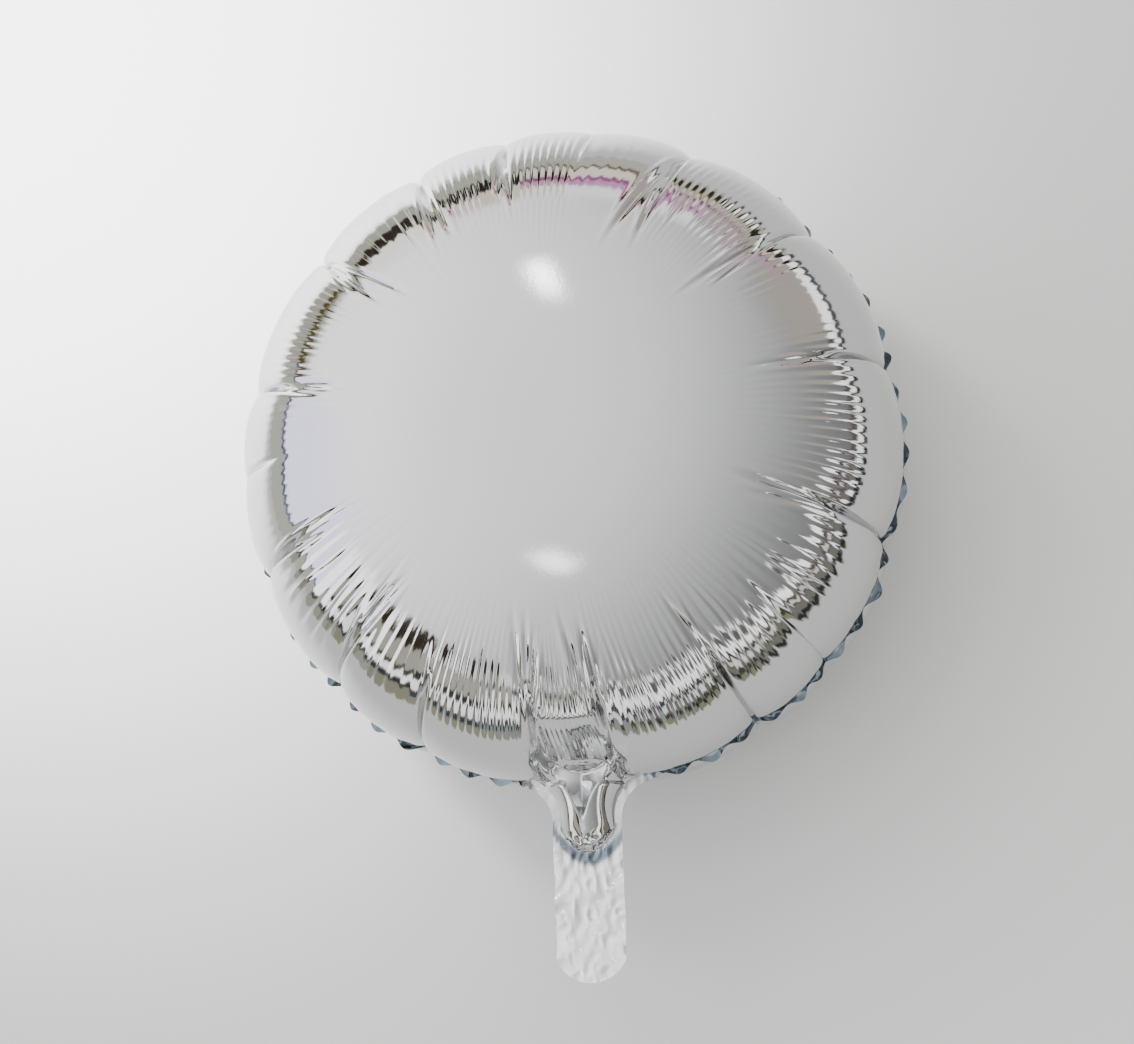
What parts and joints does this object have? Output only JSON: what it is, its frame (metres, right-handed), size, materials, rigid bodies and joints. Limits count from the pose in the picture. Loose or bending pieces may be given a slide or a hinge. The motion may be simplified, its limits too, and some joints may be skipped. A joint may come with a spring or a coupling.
{
  "type": "round foil balloon",
  "caption": "Round silver foil balloon, filled, with lobed and creased edges, a crinkled welded seam and a flat filling tail.",
  "frame": {"origin": "middle of the flat spot on the back panel that the balloon rests on", "axes": "+Z out of the front panel, square to the plane of the welded seam; the filling tail points to -Y; +X is to the right seen from the front with the tail down"},
  "size_m": [0.3554, 0.4554, 0.2116],
  "materials": {
    "front_foil": "aluminium-metallised film, bright and slightly hazy",
    "back_foil": "aluminium-metallised film, bright and slightly hazy"
  },
  "bodies": {
    "root": {"front_panel": "front_foil", "back_panel": "back_foil"}
  },
  "joints": []
}
